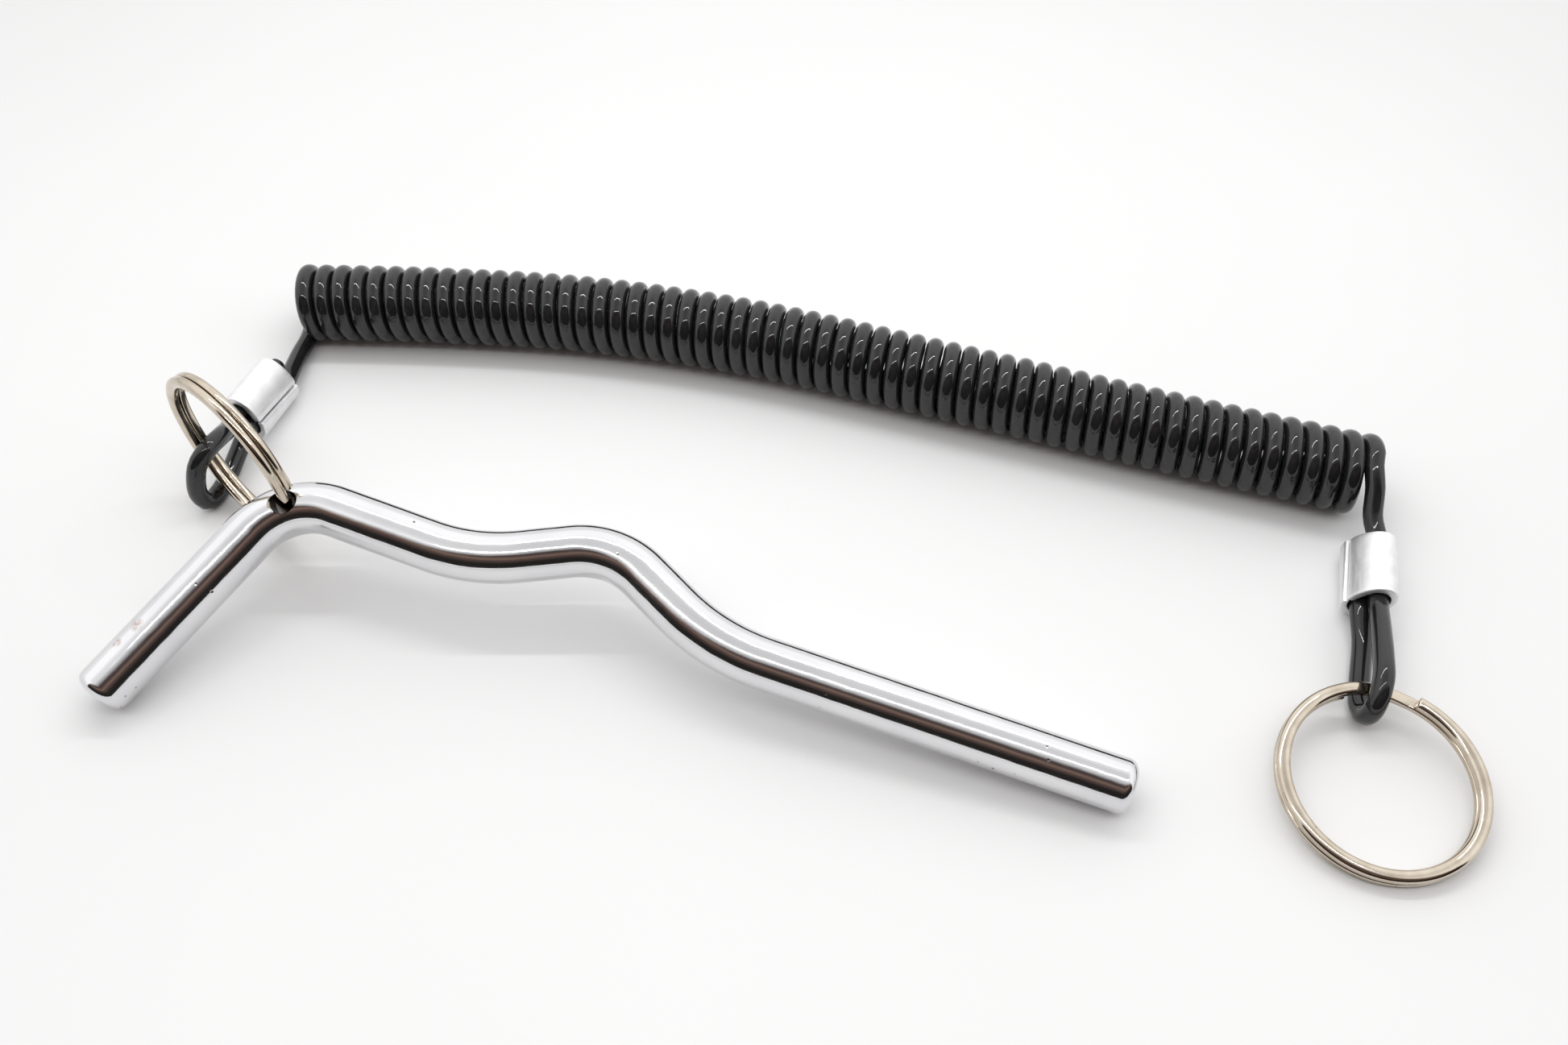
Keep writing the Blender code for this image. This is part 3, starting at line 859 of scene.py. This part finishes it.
def make_world():
    """A white room with a dark opening in front, like a light tent; the camera sees only the white."""
    world = bpy.data.worlds.new("light_tent")
    bpy.context.scene.world = world
    world.use_nodes = True
    world.node_tree.nodes.clear()
    output = add_node(world, "ShaderNodeOutputWorld")
    direction = add_node(world, "ShaderNodeSeparateXYZ")
    link(world, add_node(world, "ShaderNodeTexCoord").outputs["Generated"], direction.inputs["Vector"])
    x, y, z = (direction.outputs[axis] for axis in "XYZ")
    front = arithmetic(world, "MULTIPLY", y, -1.0)
    below_top = arithmetic(world, "SUBTRACT", front, arithmetic(world, "MULTIPLY", z, 0.42))
    widened = arithmetic(world, "MULTIPLY", front, 2.4)
    inside = arithmetic(world, "SUBTRACT", widened, arithmetic(world, "ABSOLUTE", x, 0.0))
    top = ranged(world, below_top, -0.10, 0.16, 0.0, 1.0)
    sides = ranged(world, inside, 0.0, 0.15, 0.0, 1.0)
    bottom = ranged(world, z, 0.05, 0.09, 0.0, 1.0)
    dark = arithmetic(world, "MULTIPLY", arithmetic(world, "MULTIPLY", top, sides), bottom)
    height = ranged(world, z, 0.0, 1.0, 0.0, 1.0)
    wall_stops = ((0.0, 1.00), (0.30, 1.02), (0.50, 1.30), (0.80, 1.30), (0.94, 0.86), (1.0, 0.80))
    wall = ramp(world, height, wall_stops)
    room = ramp(
        world,
        height,
        (
            (0.05, (0.016, 0.015, 0.014)),
            (0.42, (0.024, 0.021, 0.019)),
            (0.60, (0.110, 0.072, 0.062)),
            (0.70, (0.230, 0.155, 0.120)),
            (0.78, (0.085, 0.060, 0.055)),
            (0.95, (0.070, 0.058, 0.052)),
        ),
    )
    tent = mixed(world, dark, wall, room)
    light = add_node(world, "ShaderNodeBackground", STRENGTH=1.0)
    link(world, tent, light.inputs["Color"])
    seen = add_node(world, "ShaderNodeBackground", STRENGTH=1.0)
    seen.inputs["Color"].default_value = (0.92, 0.92, 0.92, 1.0)
    chosen = add_node(world, "ShaderNodeMixShader")
    link(world, add_node(world, "ShaderNodeLightPath").outputs["Is Camera Ray"], chosen.inputs["Fac"])
    link(world, light.outputs["Background"], chosen.inputs[1])
    link(world, seen.outputs["Background"], chosen.inputs[2])
    link(world, chosen.outputs["Shader"], output.inputs["Surface"])


def ramp(material, value, stops):
    """A colour for each value, from (value, grey) or (value, colour) pairs."""
    node = add_node(material, "ShaderNodeValToRGB")
    elements = node.color_ramp.elements
    while len(elements) < len(stops):
        elements.new(0.5)
    for element, (position, colour) in zip(elements, stops):
        element.position = position
        element.color = (colour, colour, colour, 1.0) if isinstance(colour, float) else (*colour, 1.0)
    link(material, value, node.inputs["Fac"])
    return node.outputs["Color"]


def add_strip(name, place, width, length, power):
    """A long lamp above the object, facing down, that the camera doesn't see."""
    data = bpy.data.lights.new(name, "AREA")
    data.shape = "RECTANGLE"
    data.size = length
    data.size_y = width
    data.energy = power
    strip = bpy.data.objects.new(name, data)
    bpy.context.scene.collection.objects.link(strip)
    strip.location = place
    strip.visible_camera = False


def make_camera():
    data = bpy.data.cameras.new("camera")
    data.lens = CAMERA_LENS
    data.sensor_width = 36.0
    data.clip_start = 0.01
    data.clip_end = 50.0
    camera = bpy.data.objects.new("camera", data)
    camera.location = CAMERA_PLACE
    camera.rotation_euler = (CAMERA_TILT, 0.0, 0.0)
    bpy.context.scene.collection.objects.link(camera)
    bpy.context.scene.camera = camera


# ---------------------------------------------------------------- the whole scene


def ride_in_place(piece, body, node):
    """A piece that stands for one CAD node of the same shape."""
    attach(piece, body)
    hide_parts(node)


make_camera()
make_floor()
make_world()
add_strip("back_strip", (0.03, 0.15, 0.33), 0.009, 0.40, 0.34)
add_strip("front_strip", (0.03, -0.085, 0.33), 0.007, 0.40, 0.20)
bpy.context.scene.view_settings.view_transform = "Standard"
bpy.context.scene.view_settings.exposure = 0.03

chrome = chrome_material()
nickel = nickel_material()
aluminium = aluminium_material()
plastic = plastic_material()

pin = make_pin(chrome)
ride_in_place(pin, "pin", "pin")
pin_ring = make_split_ring("pin_ring_coils", nickel, pin_ring_matrix())
ride_in_place(pin_ring, "pin_ring", "pin_ring")
anchor_ring = make_split_ring("anchor_ring_coils", nickel, anchor_ring_matrix())
ride_in_place(anchor_ring, "anchor_ring", "anchor_ring")
sleeve_a = make_sleeve("sleeve_a", aluminium, SLEEVE_A)
ride_in_place(sleeve_a, "tether_a", "ferrule_a")
sleeve_b = make_sleeve("sleeve_b", aluminium, SLEEVE_B)
ride_in_place(sleeve_b, "tether_b", "ferrule_b")

cable, cable_line, coil_shares = make_cable(plastic)
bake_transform(cable)
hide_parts("tether_end_a", "tether_coil", "tether_end_b")
